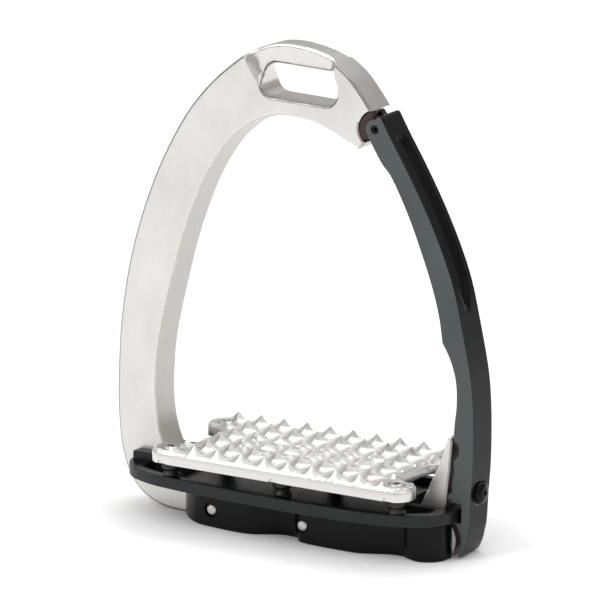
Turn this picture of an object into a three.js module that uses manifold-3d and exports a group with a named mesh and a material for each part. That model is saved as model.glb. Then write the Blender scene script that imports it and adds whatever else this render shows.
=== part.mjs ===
// Stirrup iron: machined frame with a hinged safety arm, housing, tray and grip plate.
// Millimetres, +Z up, +X towards the safety arm, -Y the front.
import * as THREE from 'three';
import { mergeVertices } from 'three/addons/utils/BufferGeometryUtils.js';
import Module from 'manifold-3d';

const wasm = await Module();
wasm.setup();

// ---- sizes ----------------------------------------------------------------
const branchOut = 75.2;        // outside of the left branch from the centre plane
const branchDeep = 15.7;       // left branch, outside to inside
const branchIn = branchOut - branchDeep;
const branchWide = 41;         // height of the widest point of the left branch
const crownHigh = 172.8;       // top of the leather bar
const crownDeep = 24.8;        // from there down to the underside of the arch
const archHigh = crownHigh - crownDeep;
const halfThick = 6.7;         // half the thickness of frame and arm, front to back
const barHigh = 11;            // height of the bar under the tread
const frameBreak = 0.8;        // edge break of the frame
const slotLong = 30.4;         // leather slot
const slotHigh = 11.4;
const slotRound = 4.6;
const slotAt = [-0.6, crownHigh - 13.6];
const slotLean = -2.5;         // degrees
const scoopDeep = 2.2;         // relief of the leather bar on either face
const hingeDrop = 25.7;        // hinge below the top of the leather bar
const knuckleR = 3.6;
const recessR = 6.3;           // round seat in the end of the frame
const ringOut = 6.05;          // outside of the elastomer ring
const tongueR = 2.9;
const tongueHalf = 3.2;
const forkHalf = 3.5;
const forkR = 3.2;
const pinR = 1.55;
const pinSocket = 0.9;
const armBreak = 0.4;
const fluteWide = 8.2;
const fluteDeep = 1.5;
const plungerHigh = 23;        // height of the spring plunger above the floor
const chamberR = 2.6;
const noseHoleR = 1.8;
const noseR = 1.55;
const knobR = 4;
const housingCover = 2.1;      // housing over the bar
const housingHigh = barHigh + housingCover;
const crossPinR = 1.95;
const crossPinHigh = barHigh - 4.7;
const crossPinAt = [-29.5, 7.4];
const trayWall = 2;
const trayDeep = 4.4;          // height of the tray
const cushionGap = 5;          // from the tray's rim to the plate
const plateThick = 4.8;
const spikeHigh = 3.6;
const trayBottom = housingHigh + 0.1;
const trayRim = trayBottom + trayDeep;
const trayFloor = trayBottom + trayWall;
const plateBottom = trayRim + cushionGap;
const plateFace = plateBottom + plateThick;
const spikeTop = plateFace + spikeHigh;
const plateHalf = 25.3;        // half depth of the grip plate
const lobeR = 6.7;
const bumperR = 3.4;
const runGap = 0.3;            // moving pieces
const seatGap = 0.04;          // pieces that sit on each other
const pressGap = 0.02;         // pins and screws in their holes
const turnGap = 0.08;          // hinge pin in the tongue

// the outlines are drawn for an iron of this size, and stretched between crown and ends
const drawn = { branchOut: 75.2, branchWide: 41, crownHigh: 172.8, plateHalf: 25.3, stack: 17.6 };

function wide(x) {
  const grow = branchOut - drawn.branchOut;
  const far = Math.abs(x);
  if (far <= 18) return x;
  if (far < 45) return Math.sign(x) * (18 + (far - 18) * (27 + grow) / 27);
  return x + Math.sign(x) * grow;
}

function tall(z) {
  const low = branchWide;
  const lift = trayRim - drawn.stack;
  const crown = crownHigh - drawn.crownHigh;
  if (z < 12) return z;
  if (z < 34) return z + lift;
  if (z < drawn.branchWide) return z + lift + (z - 34) * (low - drawn.branchWide - lift) / 7;
  if (z < 135) return low + (z - drawn.branchWide) * (135 + crown - low) / (135 - drawn.branchWide);
  return z + crown;
}

const fit = (points) => points.map(([x, z]) => [wide(x), tall(z)]);
const lobeAt = [wide(45.4), plateHalf - lobeR];
const spikePitch = 9.5 * lobeAt[0] / 45.4;
const rowPitch = 9.13 * plateHalf / drawn.plateHalf;
const bumperAt = [-lobeAt[0], 0, lobeAt[0]];
const bumperBack = lobeAt[1];
const plan = (points) => points.map(([x, y]) => [wide(x), y * plateHalf / drawn.plateHalf]);

// ---- helpers --------------------------------------------------------------
const rad = Math.PI / 180;

function arc(cx, cz, r, from, to, steps) {
  const out = [];
  for (let i = 0; i <= steps; i += 1) {
    const a = (from + (to - from) * i / steps) * rad;
    out.push([cx + r * Math.cos(a), cz + r * Math.sin(a)]);
  }
  return out;
}

function spline(points, perSpan) {
  const curve = new THREE.SplineCurve(points.map(([x, z]) => new THREE.Vector2(x, z)));
  return curve.getPoints(perSpan * (points.length - 1)).map((p) => [p.x, p.y]);
}

function bezier(a, b, c, d, steps) {
  const v = [a, b, c, d].map(([x, z]) => new THREE.Vector2(x, z));
  return new THREE.CubicBezierCurve(...v).getPoints(steps).map((p) => [p.x, p.y]);
}

function shapeOf(points) {
  const kept = points.filter(([x, z], i) => {
    const [px, pz] = points[(i + points.length - 1) % points.length];
    return Math.hypot(x - px, z - pz) > 0.2;
  });
  return new THREE.Shape(kept.map(([x, z]) => new THREE.Vector2(x, z)));
}

function roundedBox(cx, cz, long, high, r, lean, steps) {
  const out = [];
  const corners = [[1, 1, 0], [-1, 1, 90], [-1, -1, 180], [1, -1, 270]];
  for (const [sx, sz, from] of corners) {
    const x = sx * (long / 2 - r);
    const z = sz * (high / 2 - r);
    for (const [px, pz] of arc(x, z, r, from, from + 90, steps)) {
      const c = Math.cos(lean * rad);
      const s = Math.sin(lean * rad);
      out.push([cx + px * c - pz * s, cz + px * s + pz * c]);
    }
  }
  return out;
}

function solid(geometry) {
  const bare = geometry.clone();
  bare.deleteAttribute('normal');
  bare.deleteAttribute('uv');
  const joined = mergeVertices(bare, 1e-4);
  const mesh = new wasm.Mesh({
    numProp: 3,
    vertProperties: new Float32Array(joined.attributes.position.array),
    triVerts: new Uint32Array(joined.index.array),
  });
  return new wasm.Manifold(mesh);
}

// prism of an XZ outline between two Y planes
function across(shape, y0, y1, edge = 0) {
  const geometry = new THREE.ExtrudeGeometry(shape, {
    depth: y1 - y0 - 2 * edge,
    bevelEnabled: edge > 0,
    bevelThickness: edge,
    bevelSize: edge,
    bevelOffset: -edge,
    bevelSegments: 1,
    steps: 1,
    curveSegments: 1,
  });
  geometry.rotateX(Math.PI / 2);
  geometry.translate(0, y1 - edge, 0);
  return solid(geometry);
}

// prism of an XY outline between two Z planes
function upward(shape, z0, z1, edge = 0) {
  const geometry = new THREE.ExtrudeGeometry(shape, {
    depth: z1 - z0 - 2 * edge,
    bevelEnabled: edge > 0,
    bevelThickness: edge,
    bevelSize: edge,
    bevelOffset: -edge,
    bevelSegments: 1,
    steps: 1,
    curveSegments: 1,
  });
  geometry.translate(0, 0, z0 + edge);
  return solid(geometry);
}

// turned body: profile of [radius, height] pairs, starting and ending on the axis
function turned(profile, sides) {
  return solid(new THREE.LatheGeometry(profile.map(([r, h]) => new THREE.Vector2(r, h)), sides));
}

function rod(r, h0, h1, sides) {
  return turned([[0, h0], [r, h0], [r, h1], [0, h1]], sides);
}

function alongY(body, x, z) {
  return body.translate([x, 0, z]);
}

function alongZ(body, x, y) {
  return body.rotate([90, 0, 0]).translate([x, y, 0]);
}

function alongX(body, y, z) {
  return body.rotate([0, 0, -90]).translate([0, y, z]);
}

function box(x0, x1, y0, y1, z0, z1) {
  const geometry = new THREE.BoxGeometry(x1 - x0, y1 - y0, z1 - z0);
  geometry.translate((x0 + x1) / 2, (y0 + y1) / 2, (z0 + z1) / 2);
  return solid(geometry);
}

const part = new THREE.Group();

function put(name, body, colour, metalness, roughness) {
  const mesh = body.getMesh();
  const geometry = new THREE.BufferGeometry();
  geometry.setAttribute('position', new THREE.BufferAttribute(new Float32Array(mesh.vertProperties), 3));
  geometry.setIndex(new THREE.BufferAttribute(new Uint32Array(mesh.triVerts), 1));
  geometry.computeVertexNormals();
  const material = new THREE.MeshStandardMaterial({ color: colour, metalness, roughness });
  const node = new THREE.Mesh(geometry, material);
  node.name = name;
  part.add(node);
}

const satin = 0xdfdedb;
const bright = 0xd2d2d0;
const blackMetal = 0x232627;
const blackPlastic = 0x1c1e1f;
const elastomer = 0x3a241f;
const rubber = 0x111212;
const steel = 0xb9bbbd;

// ---- frame ----------------------------------------------------------------
// one machined piece: branch, leather bar, seat of the hinge, bar under the tread, latch post
const [hx, hz] = [wide(29.5), crownHigh - hingeDrop];
const archOutside = spline([[hx - 1.3, hz + 6.2], [hx - 5.5, hz + 11.7], ...fit([
  [20, 163.4], [14.5, 167.6], [8.5, 170.7], [-3, drawn.crownHigh],
  [-13, 171.9], [-23, 167.2], [-36.9, 155.5], [-48.4, 140.8], [-59.6, 119.4], [-68.6, 93.6],
  [-73.7, 66.5],
]), [-branchOut, branchWide]], 4);
const archInside = spline([[-branchIn, branchWide + 2], ...fit([
  [-57.8, 61.5], [-50.9, 89.7], [-45.4, 106.6], [-38.9, 121.6], [-31.1, 133.8], [-23.7, 141.1],
  [-16.3, 145.6]]), [-7.8, archHigh], [0.2, archHigh - 0.1], ...fit([[8.1, 146.3]]), [hx - 13.5, hz - 4.1],
  [hx - 6.2, hz - 7.4],
], 3);
const postLeft = spline(fit([[48.6, 18.7], [52.4, 26.8], [54.8, 32.1], [57, 38.2], [58, 41]]), 2);
const postX = wide(59.4);
const ballX = wide(53.6);      // centre of the rounded end of the bar
const frameOutline = shapeOf([
  ...archOutside,
  ...bezier([-branchOut, branchWide], [-branchOut, 14], [wide(-71), 0], [wide(-48), 0], 14),
  [ballX + 5.4, 0],
  ...arc(ballX, 6.1, 8.4, -44, 59, 9),
  ...fit([[58.2, 20.5], [59.6, 31]]),
  ...arc(postX, branchWide + 0.9, 1.1, 0, 150, 4),
  ...postLeft.reverse(),
  ...bezier(postLeft.at(-1), [wide(47), barHigh + 4], [wide(44), barHigh], [wide(38), barHigh], 6)
    .slice(1),
  ...bezier(
    [wide(-38), barHigh], [wide(-54), barHigh],
    [-branchIn, barHigh + 15], [-branchIn, branchWide + 2], 10,
  ),
  ...archInside.slice(1),
  ...arc(hx, hz, recessR, 232, 102, 14),
]);
const slot = roundedBox(slotAt[0], slotAt[1], slotLong, slotHigh, slotRound, slotLean, 5);
frameOutline.holes.push(new THREE.Path(slot.reverse().map(([x, z]) => new THREE.Vector2(x, z))));
const [sx0, sz0] = slotAt;
const scoopOutline = shapeOf([
  [sx0 + 14, sz0 - 2.2], ...arc(sx0 + 10.1, sz0 + 3.8, 5, -20, 60, 4),
  [sx0 + 15.6, crownHigh + 7.2], [sx0 - 23.4, crownHigh + 7.2],
  ...bezier(
    [sx0 - 21.9, sz0 + 9.8], [sx0 - 18.9, sz0 + 4.8],
    [sx0 - 18.4, sz0 - 1.2], [sx0 - 13.9, sz0 - 4.2], 6,
  ),
  [sx0 - 11.4, sz0 - 2.2],
]);
// round eye for the pin, on a neck that leaves room for the top of the arm to swing over it
const tongueOutline = shapeOf([
  ...arc(hx, hz, tongueR, -129, 186, 18),
  [hx - 8.5, hz - 0.9], [hx - 8.5, hz - 4.6], [hx - 6.2, hz - 6.2],
]);
const tongue = across(tongueOutline, -tongueHalf, tongueHalf);
const pinHole = alongY(rod(pinR + turnGap, -9, 9, 20), hx, hz);
let frame = across(frameOutline, -halfThick, halfThick, frameBreak)
  .subtract(across(scoopOutline, -9, -halfThick + scoopDeep))
  .subtract(across(scoopOutline, halfThick - scoopDeep, 9))
  .add(tongue)
  .subtract(pinHole);
for (const x of crossPinAt) {
  frame = frame.subtract(alongY(rod(crossPinR + pressGap, -9, 9, 20), x, crossPinHigh));
}
// dimple in the latch post for the nose of the plunger
const dimpleX = wide(58.35);
frame = frame.subtract(alongX(turned([
  [0, dimpleX - 0.9], [0.9, dimpleX - 0.9], [2.6, dimpleX + 1], [0, dimpleX + 1],
], 16), 0, plungerHigh));
put('frame', frame, satin, 0.9, 0.42);

// ---- safety arm -----------------------------------------------------------
const armOutside = spline(fit([
  [63.9, 0.8], [65.2, 3.6], [66.3, 7.8], [67, 12], [67.6, 22], [68.3, 32], [68.5, 44],
  [68.1, 56], [66.9, 66.5], [63.7, 81.8], [60.4, 95.4], [56, 107.2], [49.8, 120.3],
  [43, 132.6],
]).concat([[hx + 6.8, hz - 3.5], [hx + 4.7, hz + 0.1], [hx + 2.8, hz + 3.5]]), 3);
const armInside = spline([[hx - 2.1, hz - 3.5], [hx + 2.6, hz - 11.1]].concat(fit([
  [36.3, 131], [42.3, 119.7], [47.1, 108.5], [51.9, 95.7],
  [54.8, 85.4], [56.3, 76],
])), 3);
const armKnee = spline(fit([
  [56.3, 76], [59.4, 70.4], [61.6, 63.2], [62, 55.1], [61.3, 48.2], [61, 44.3],
]), 3);
const notchX = wide(64.2);     // room for the end of the tray
const armOutline = shapeOf([
  ...armOutside,
  [hx + 2.35, hz + 4.2], [hx + 1.7, hz + 4.6], [hx + 1, hz + 4.5],
  ...arc(hx, hz, knuckleR, 84, 222, 12),
  ...armInside,
  ...armKnee.slice(1),
  ...arc(wide(59), tall(38.7), 4.15, 61, -61, 8),
  ...fit([[61.3, 31.5], [60.7, 27]]), [wide(60.3), trayRim + 2.4],
  [notchX, trayRim + 2.4], [notchX, trayBottom - 0.2],
  ...arc(ballX, 6.1, 10.6, 40, -30, 8),
]);
const forkMouth = across(shapeOf([[hx, hz], ...arc(hx, hz, 7.5, 84, 236, 8)]), -forkHalf, forkHalf);
const fork = across(shapeOf(arc(hx, hz, forkR, 0, 345, 23)), -forkHalf, forkHalf).add(forkMouth);
const deepen = ([x, z]) => [x - fluteDeep, z];
const flutePath = spline([
  ...fit([[75, 83]]),
  ...fit([[64.3, 86.5], [63.2, 91], [60.9, 100.5], [55, 114.2], [47.9, 129.5], [40, 142.5]]).map(deepen),
  ...fit([[38.6, 146.5], [45, 150]]),
], 3);
const fluteEnds = fit([[90, 150], [90, 83]]);
const flute = across(shapeOf([...flutePath, ...fluteEnds]), -fluteWide / 2, fluteWide / 2);
const cheekHole = alongY(rod(pinR + pressGap, -9, 9, 20), hx, hz);
const catchX = wide(61.5);     // bottom of the spring chamber
const chamber = alongX(rod(chamberR, catchX, catchX + 20, 24), 0, plungerHigh);
const noseHole = alongX(rod(noseHoleR, catchX - 6.5, catchX + 0.5, 16), 0, plungerHigh);
const spotFace = alongX(rod(knobR + 0.6, catchX + 5.9, catchX + 20, 24), 0, plungerHigh);
const arm = across(armOutline, -halfThick, halfThick, armBreak)
  .subtract(fork)
  .subtract(flute)
  .subtract(cheekHole)
  .subtract(chamber)
  .subtract(noseHole)
  .subtract(spotFace);
put('safety_arm', arm, blackMetal, 0.6, 0.3);

const hexHole = alongY(rod(pinSocket, -9, -halfThick + 2.4, 6), hx, hz);
const hingePin = alongY(rod(pinR, -halfThick + 0.5, halfThick - 0.5, 20), hx, hz).subtract(hexHole);
put('hinge_pin', hingePin, 0x3a3c3d, 0.9, 0.35);

const ringOutline = (top) => shapeOf([
  ...arc(hx, hz, ringOut, top, 223, 16),
  ...arc(hx, hz, knuckleR + 2 * seatGap, 223, top, 16),
]);
const ringFront = across(ringOutline(100), -halfThick + 0.1, -tongueHalf - runGap);
const ringRear = across(ringOutline(128), tongueHalf + runGap, halfThick - 0.1);
put('hinge_ring_front', ringFront, elastomer, 0, 0.8);
put('hinge_ring_rear', ringRear, elastomer, 0, 0.8);

// spring plunger: nose, coil and adjusting screw in one bore of the arm
const plunger = alongX(turned([
  [0, catchX - 3.7], [0.7, catchX - 3.5], [1.25, catchX - 3], [noseR, catchX - 2.2],
  [noseR, catchX + 0.2], [chamberR - 0.2, catchX + 0.2], [chamberR - 0.2, catchX + 1.3],
  [0, catchX + 1.3],
], 16), 0, plungerHigh);
put('latch_plunger', plunger, steel, 1, 0.25);

class Coil extends THREE.Curve {
  constructor(r, x0, x1, turns) {
    super();
    this.r = r;
    this.x0 = x0;
    this.x1 = x1;
    this.turns = turns;
  }

  getPoint(t, out = new THREE.Vector3()) {
    const a = t * this.turns * 2 * Math.PI;
    const x = this.x0 + (this.x1 - this.x0) * t;
    return out.set(x, this.r * Math.cos(a), this.r * Math.sin(a));
  }
}

const coil = new THREE.ExtrudeGeometry(
  shapeOf(arc(0, 0, 0.28, 0, 288, 4)),
  {
    steps: 36, curveSegments: 1, bevelEnabled: false,
    extrudePath: new Coil(1.9, catchX + 1.65, catchX + 4.25, 3),
  },
);
put('latch_spring', solid(coil).translate([0, 0, plungerHigh]), steel, 1, 0.3);

const knobX = catchX + 5.9;
const knobSocket = alongX(rod(1, knobX + 1.2, knobX + 5, 6), 0, plungerHigh);
const adjuster = alongX(turned([
  [0, knobX - 1.3], [chamberR - pressGap, knobX - 1.3], [chamberR - pressGap, knobX + seatGap],
  [knobR, knobX + seatGap], [knobR, knobX + 0.6], [knobR - 0.4, knobX + 1.4],
  [knobR - 1.3, knobX + 2.1], [knobR - 2.4, knobX + 2.45], [0, knobX + 2.5],
], 24), 0, plungerHigh).subtract(knobSocket);
put('latch_adjuster', adjuster, 0x2b2e30, 0.5, 0.35);

// ---- housing under the tread ----------------------------------------------
const housingEnds = halfThick + 0.5;
const housingFront = spline([[wide(-46.6), -housingEnds], ...plan([
  [-45.2, -9.2], [-41, -13.8], [-35.7, -17], [-27, -18.4], [-18.9, -19],
  [-12.9, -18.3], [-8, -15.8], [-3.8, -13.7], [1, -13.4], [3.6, -14.6], [6.2, -17.4],
  [11, -18.4], [20, -18.8], [29, -18.6], [34.4, -16.8], [40, -14.3], [44.6, -13.8],
  [48.6, -15.6], [52.4, -16.6], [56.8, -15], [59.6, -11.8]]), [wide(60.6), -housingEnds],
], 2);
const housingBack = housingFront.map(([x, y]) => [x, -y]).reverse();
const pinEnd = 18 * plateHalf / drawn.plateHalf;
let housing = upward(shapeOf([...housingFront, ...housingBack]), 0, housingHigh)
  .subtract(box(-100, 100, -halfThick - seatGap, halfThick + seatGap, -5, barHigh + 0.1))
  .subtract(box(-100, wide(-36), -halfThick - seatGap, halfThick + seatGap, -5, 30))
  .subtract(box(wide(36), 100, -halfThick - seatGap, halfThick + seatGap, -5, 30));
for (const x of crossPinAt) {
  housing = housing
    .subtract(alongY(rod(crossPinR + pressGap, -30, 30, 20), x, crossPinHigh))
    .subtract(alongY(rod(2.6, -30, -pinEnd + 0.7, 20), x, crossPinHigh))
    .subtract(alongY(rod(2.6, pinEnd - 0.7, 30, 20), x, crossPinHigh));
}
put('housing', housing, blackPlastic, 0, 0.35);
crossPinAt.forEach((x, i) => {
  const pin = alongY(turned([
    [0, -pinEnd], [crossPinR - 0.4, -pinEnd], [crossPinR, 0.4 - pinEnd],
    [crossPinR, pinEnd - 0.4], [crossPinR - 0.4, pinEnd], [0, pinEnd],
  ], 20), x, crossPinHigh);
  put(`housing_pin_${i + 1}`, pin, bright, 1, 0.25);
});

// ---- tray -----------------------------------------------------------------
const trayFront = spline([[wide(-68), -halfThick - 0.6], ...plan([
  [-67.6, -10.4], [-65.2, -15], [-60.6, -18.8], [-52.9, -21.9], [-45, -23.4],
  [-30, -25], [-12, -26], [9, -26.4], [26, -26], [38, -24.9], [47, -22.9], [53.6, -20.2],
  [58.6, -16.2], [61.6, -10.8], [62.5, -4],
])], 2);
const trayBack = trayFront.map(([x, y]) => [x, -y]).reverse();
const trayOutline = shapeOf([...trayFront, ...trayBack]);
const recessOutline = shapeOf([...trayFront, ...trayBack].map(([x, y]) => [x * 0.95, y * 0.89]));
const notch = halfThick + runGap;
const padHalf = halfThick + 3.7;
const trayEnd = upward(trayOutline, trayRim - 1, trayRim + 3.2)
  .intersect(box(wide(-66.5), wide(-55.5), -padHalf, padHalf, 0, 60));
const cushionSeats = wasm.Manifold.union(bumperAt.flatMap((x) => [-1, 1].map(
  (sy) => alongZ(rod(bumperR + 0.25, trayFloor, trayFloor + 20, 20), x, sy * bumperBack),
)));
const recess = upward(recessOutline, trayFloor, trayFloor + 20);
const wallIn = halfThick + 2.8;
const tray = upward(trayOutline, trayBottom, trayRim, 0.4)
  .subtract(recess.intersect(box(wide(-45.5), wide(40.5), -40, 40, 0, 60)))
  .subtract(recess.intersect(box(wide(-59), wide(56), -40, -wallIn, 0, 60)))
  .subtract(recess.intersect(box(wide(-59), wide(56), wallIn, 40, 0, 60)))
  .subtract(cushionSeats)
  .add(trayEnd)
  .subtract(box(-100, wide(-38) - 9, -notch, notch, 0, 60))
  .subtract(box(wide(42), wide(58.9), -notch, notch, 0, 60));
put('tray', tray, blackPlastic, 0, 0.4);

// ---- grip plate -----------------------------------------------------------
const [lx, ly] = lobeAt;
const quarter = [
  ...arc(lx, -ly, lobeR, -90, 48, 10), [lx - 3, 8 - ly], [lx - 4, 13.6 - ly],
];
const quarterBack = quarter.map(([x, y]) => [x, -y]).reverse();
const plateRight = [...quarter, [lx - 4.4, 0], ...quarterBack];
const plateLeft = plateRight.map(([x, y]) => [-x, -y]);
const plateOutline = shapeOf([...plateRight, ...plateLeft]);
const shankR = 1.6;            // plate screws
const headSeat = plateFace - 1.8;
let plate = upward(plateOutline, plateBottom, plateFace, 0.5);
for (let row = 0; row < 6; row += 1) {
  for (let column = 0; column < 10; column += 1) {
    const x = (column - 4.5) * spikePitch;
    const y = (2.5 - row) * rowPitch;
    const onLobe = Math.abs(x) > lx - 7.4 && Math.abs(y) > 12;
    const offPlate = Math.abs(x) > lx - 7.4 && Math.abs(y) < 12;
    if (!onLobe && !offPlate) {
      const spike = turned([[0, plateFace - 1], [4.1, plateFace - 1], [0.3, spikeTop], [0, spikeTop]], 4);
      plate = plate.add(alongZ(spike, x, y));
    }
  }
}
plate = plate.intersect(upward(plateOutline, plateBottom - 1, 40));
for (const sx of [-1, 1]) {
  for (const sy of [-1, 1]) {
    plate = plate
      .subtract(alongZ(rod(shankR + pressGap, 0, 60, 16), sx * lx, sy * ly))
      .subtract(alongZ(rod(3, headSeat, 60, 20), sx * lx, sy * ly));
  }
}
for (const x of bumperAt) {
  for (const sy of [-1, 1]) {
    const y0 = sy < 0 ? 0.9 - plateHalf - 5.6 : plateHalf - 0.9;
    plate = plate.subtract(rod(1.7, y0, y0 + 5.6, 12).translate([x, 0, plateBottom]));
  }
}
put('grip_plate', plate, bright, 1, 0.35);

// cushions between tray and plate, and the screws that hold the plate down
const side = { front: -1, rear: 1 };
for (const [word, sy] of Object.entries(side)) {
  bumperAt.forEach((x, i) => {
    const bare = turned([
      [0, trayFloor + seatGap], [bumperR, trayFloor + seatGap], [bumperR, trayRim],
      [2.7, trayRim + 1.3], [bumperR, plateBottom - 2.2], [2.9, plateBottom - seatGap],
      [0, plateBottom - seatGap],
    ], 20);
    let cushion = alongZ(bare, x, sy * bumperBack);
    if (x !== 0) {
      cushion = cushion.subtract(alongZ(rod(shankR + pressGap, 0, 60, 16), Math.sign(x) * lx, sy * ly));
    }
    put(`cushion_${word}_${i + 1}`, cushion, rubber, 0, 0.5);
  });
  for (const [hand, sx] of [['left', -1], ['right', 1]]) {
    const screw = alongZ(turned([
      [0, trayFloor + 0.1], [shankR, trayFloor + 0.1], [shankR, headSeat + seatGap],
      [2.8, headSeat + seatGap], [2.8, headSeat + 1.6], [2.4, headSeat + 2], [0, headSeat + 2],
    ], 16), sx * lx, sy * ly).subtract(alongZ(rod(1.25, headSeat + 0.4, 60, 6), sx * lx, sy * ly));
    put(`plate_screw_${word}_${hand}`, screw, steel, 1, 0.3);
  }
}

export default part;
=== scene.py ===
import bmesh
import bpy
from math import cos, hypot, pi, radians, sin, sqrt
from mathutils import Matrix, Vector
from mathutils.kdtree import KDTree


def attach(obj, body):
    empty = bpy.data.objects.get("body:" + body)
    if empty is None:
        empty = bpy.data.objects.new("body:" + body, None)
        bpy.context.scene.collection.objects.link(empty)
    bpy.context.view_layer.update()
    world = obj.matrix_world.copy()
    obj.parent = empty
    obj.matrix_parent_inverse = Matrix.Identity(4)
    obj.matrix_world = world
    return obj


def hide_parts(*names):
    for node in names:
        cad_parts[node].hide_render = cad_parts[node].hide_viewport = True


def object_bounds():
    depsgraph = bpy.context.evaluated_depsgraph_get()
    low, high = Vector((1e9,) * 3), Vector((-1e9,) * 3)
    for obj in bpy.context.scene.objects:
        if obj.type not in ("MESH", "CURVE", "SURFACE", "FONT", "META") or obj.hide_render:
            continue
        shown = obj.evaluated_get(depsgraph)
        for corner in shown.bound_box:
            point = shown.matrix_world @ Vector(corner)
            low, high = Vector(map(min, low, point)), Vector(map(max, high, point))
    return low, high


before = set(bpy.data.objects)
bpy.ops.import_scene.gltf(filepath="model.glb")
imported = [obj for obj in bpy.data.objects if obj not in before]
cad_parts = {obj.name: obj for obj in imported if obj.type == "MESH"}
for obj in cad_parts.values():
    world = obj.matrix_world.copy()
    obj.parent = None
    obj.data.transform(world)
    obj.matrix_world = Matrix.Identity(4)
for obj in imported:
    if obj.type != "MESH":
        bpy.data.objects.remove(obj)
cadLow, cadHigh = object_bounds()
mm = 0.001
print("packed model loaded, height", round(cadHigh.z - cadLow.z, 4))


def linear(code):
    parts = [int(code[i:i + 2], 16) / 255 for i in (0, 2, 4)]
    return tuple(c / 12.92 if c < 0.04045 else ((c + 0.055) / 1.055) ** 2.4 for c in parts) + (1,)


def addNode(tree, kind, settings=None, links=None):
    node = tree.nodes.new(kind)
    for name, value in (settings or {}).items():
        if isinstance(name, int) or name in node.inputs:
            node.inputs[name].default_value = value
        else:
            setattr(node, name, value)
    for name, source in (links or {}).items():
        tree.links.new(source, node.inputs[name])
    return node


def newFinish(name):
    finish = bpy.data.materials.new(name)
    finish.use_nodes = True
    tree = finish.node_tree
    tree.nodes.clear()
    surface = addNode(tree, "ShaderNodeBsdfPrincipled")
    addNode(tree, "ShaderNodeOutputMaterial", links={"Surface": surface.outputs[0]})
    return finish, tree, surface


def grain(tree, stretch, size, detail=3.0, rough=0.55):
    # noise with a grain of this size in millimetres, longer along some axes
    where = addNode(tree, "ShaderNodeTexCoord")
    scaled = addNode(tree, "ShaderNodeMapping", {"Scale": tuple(1 / s for s in stretch)},
                     {"Vector": where.outputs["Object"]})
    return addNode(tree, "ShaderNodeTexNoise",
                   {"Scale": 1000 / size, "Detail": detail, "Roughness": rough},
                   {"Vector": scaled.outputs[0]})


def ramp(tree, source, low, high, start=0.3, end=0.7):
    # a noise spread between two numbers or two colours
    if isinstance(low, tuple):
        node = addNode(tree, "ShaderNodeValToRGB", links={"Fac": source.outputs[0]})
        node.color_ramp.elements[0].position, node.color_ramp.elements[0].color = start, low
        node.color_ramp.elements[1].position, node.color_ramp.elements[1].color = end, high
        return node.outputs[0]
    node = addNode(tree, "ShaderNodeMapRange",
                   {"From Min": start, "From Max": end, "To Min": low, "To Max": high},
                   {"Value": source.outputs[0]})
    return node.outputs[0]


def bump(tree, surface, source, height, strength=0.5):
    node = addNode(tree, "ShaderNodeBump", {"Strength": strength, "Distance": height * mm},
                   {"Height": source.outputs[0]})
    tree.links.new(node.outputs[0], surface.inputs["Normal"])


def satinAluminium():
    # 6000-series aluminium, bead blasted and then brushed along the branches: pale, soft
    # reflections with faint upright streaks. The real streaks are 0.1 mm, drawn at 0.5 mm to show.
    finish, tree, surface = newFinish("satin_aluminium")
    streaks = grain(tree, (1, 1, 16), 0.5)
    clouds = grain(tree, (1, 1, 1.6), 14)
    tree.links.new(ramp(tree, clouds, linear("d2cfcc"), linear("dddbd8")), surface.inputs["Base Color"])
    tree.links.new(ramp(tree, streaks, 0.36, 0.46), surface.inputs["Roughness"])
    surface.inputs["Metallic"].default_value = 1
    bump(tree, surface, streaks, 0.02, 0.35)
    return finish


def milledAluminium():
    # walls left by the end mill: the same metal, a little darker, with fine lines across
    finish, tree, surface = newFinish("milled_aluminium")
    lines = grain(tree, (6, 0.6, 6), 0.7)
    tree.links.new(ramp(tree, lines, linear("b4b0ad"), linear("c2beba")), surface.inputs["Base Color"])
    tree.links.new(ramp(tree, lines, 0.28, 0.4), surface.inputs["Roughness"])
    surface.inputs["Metallic"].default_value = 1
    bump(tree, surface, lines, 0.015, 0.3)
    return finish


def polishedAluminium():
    # the leather bar and inner edge breaks, cut bright: clear reflections, very shallow tool rings
    finish, tree, surface = newFinish("polished_aluminium")
    rings = grain(tree, (1, 3, 1), 0.9)
    tree.links.new(ramp(tree, rings, linear("cbc8c5"), linear("dad7d4")), surface.inputs["Base Color"])
    tree.links.new(ramp(tree, rings, 0.14, 0.24), surface.inputs["Roughness"])
    surface.inputs["Metallic"].default_value = 1
    bump(tree, surface, rings, 0.01, 0.3)
    return finish


def paintedDarkRimAluminium():
    # the narrow outer edge break: the same metal, greyer and duller; its darker base colour is a painted dark
    # reflection
    finish, tree, surface = newFinish("edge_break_painted_reflection")
    lines = grain(tree, (3, 3, 3), 0.6)
    tree.links.new(ramp(tree, lines, linear("8d8a87"), linear("a19e9b")), surface.inputs["Base Color"])
    tree.links.new(ramp(tree, lines, 0.3, 0.42), surface.inputs["Roughness"])
    surface.inputs["Metallic"].default_value = 1
    bump(tree, surface, lines, 0.01, 0.3)
    return finish


def platePlain():
    # walls and chamfers of the grip plate: the same alloy, finely milled and left bright
    finish, tree, surface = newFinish("plate_wall_aluminium")
    lines = grain(tree, (14, 14, 0.5), 0.8)
    tree.links.new(ramp(tree, lines, linear("d6d5d3"), linear("e2e1df")), surface.inputs["Base Color"])
    tree.links.new(ramp(tree, lines, 0.3, 0.42), surface.inputs["Roughness"])
    surface.inputs["Metallic"].default_value = 1
    bump(tree, surface, lines, 0.01, 0.25)
    return finish


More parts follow.
